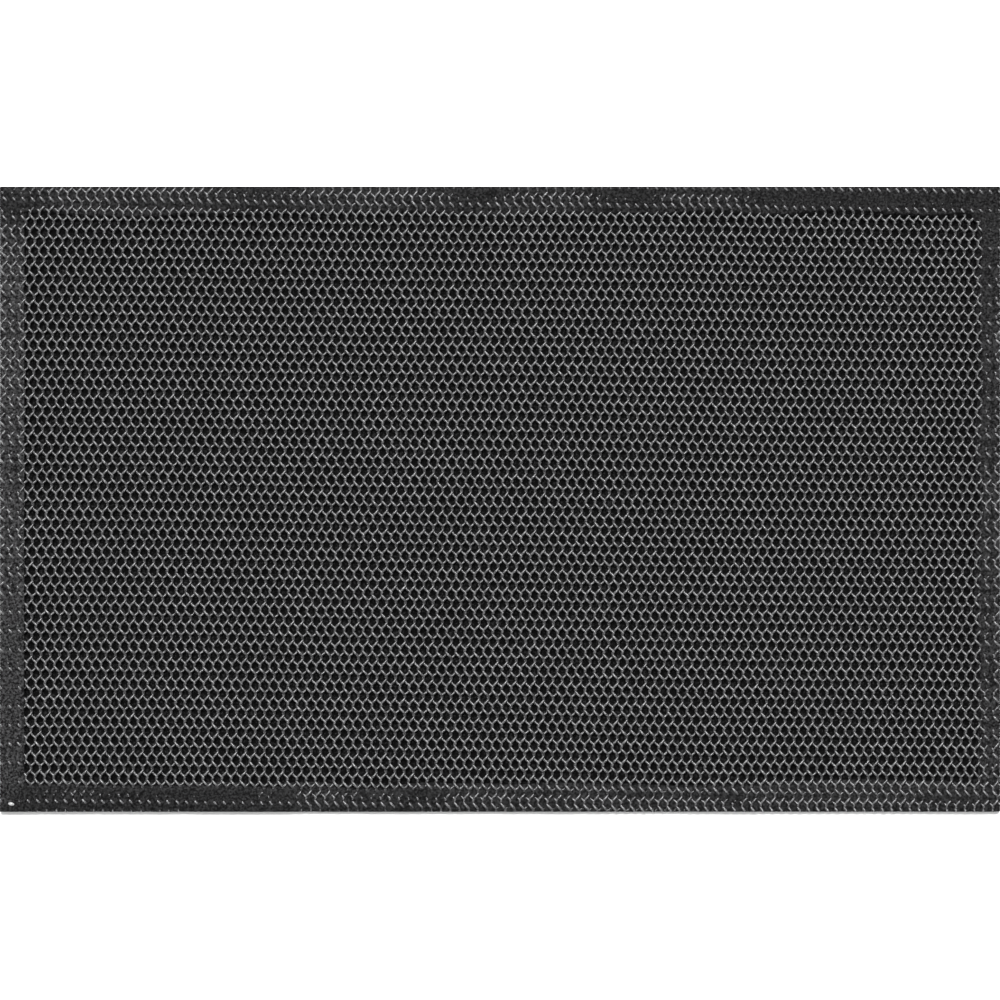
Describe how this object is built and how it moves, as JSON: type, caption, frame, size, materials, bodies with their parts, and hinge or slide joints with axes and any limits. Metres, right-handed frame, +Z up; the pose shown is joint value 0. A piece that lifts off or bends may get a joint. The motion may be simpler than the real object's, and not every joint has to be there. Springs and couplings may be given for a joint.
{
  "type": "door mat",
  "caption": "Flat rectangular scraper mat: an open web of thick vinyl strands on a backing sheet, with a solid edge strip along each side.",
  "frame": {"origin": "centre of the underside, on the floor", "axes": "+X along the length to the right edge, +Y along the width to the back edge, +Z up to the tread side"},
  "size_m": [0.8, 0.5, 0.006],
  "materials": {
    "strand_vinyl": "semi-gloss, ribbed and slightly grainy",
    "edge_vinyl": "satin, with a fine grain",
    "backing_vinyl": "matt, fine non-slip grain"
  },
  "bodies": {
    "root": {"backing_sheet": "backing_vinyl", "front_edge_strip": "edge_vinyl", "back_edge_strip": "edge_vinyl", "left_edge_strip": "edge_vinyl", "right_edge_strip": "edge_vinyl", "lower_strands_01": "strand_vinyl", "lower_strands_02": "strand_vinyl", "lower_strands_03": "strand_vinyl", "lower_strands_04": "strand_vinyl", "lower_strands_05": "strand_vinyl", "lower_strands_06": "strand_vinyl", "lower_strands_07": "strand_vinyl", "lower_strands_08": "strand_vinyl", "lower_strands_09": "strand_vinyl", "lower_strands_10": "strand_vinyl", "lower_strands_11": "strand_vinyl", "lower_strands_12": "strand_vinyl", "upper_strands_01": "strand_vinyl", "upper_strands_02": "strand_vinyl", "upper_strands_03": "strand_vinyl", "upper_strands_04": "strand_vinyl", "upper_strands_05": "strand_vinyl", "upper_strands_06": "strand_vinyl", "upper_strands_07": "strand_vinyl", "upper_strands_08": "strand_vinyl", "upper_strands_09": "strand_vinyl", "upper_strands_10": "strand_vinyl", "upper_strands_11": "strand_vinyl", "upper_strands_12": "strand_vinyl"}
  },
  "joints": []
}
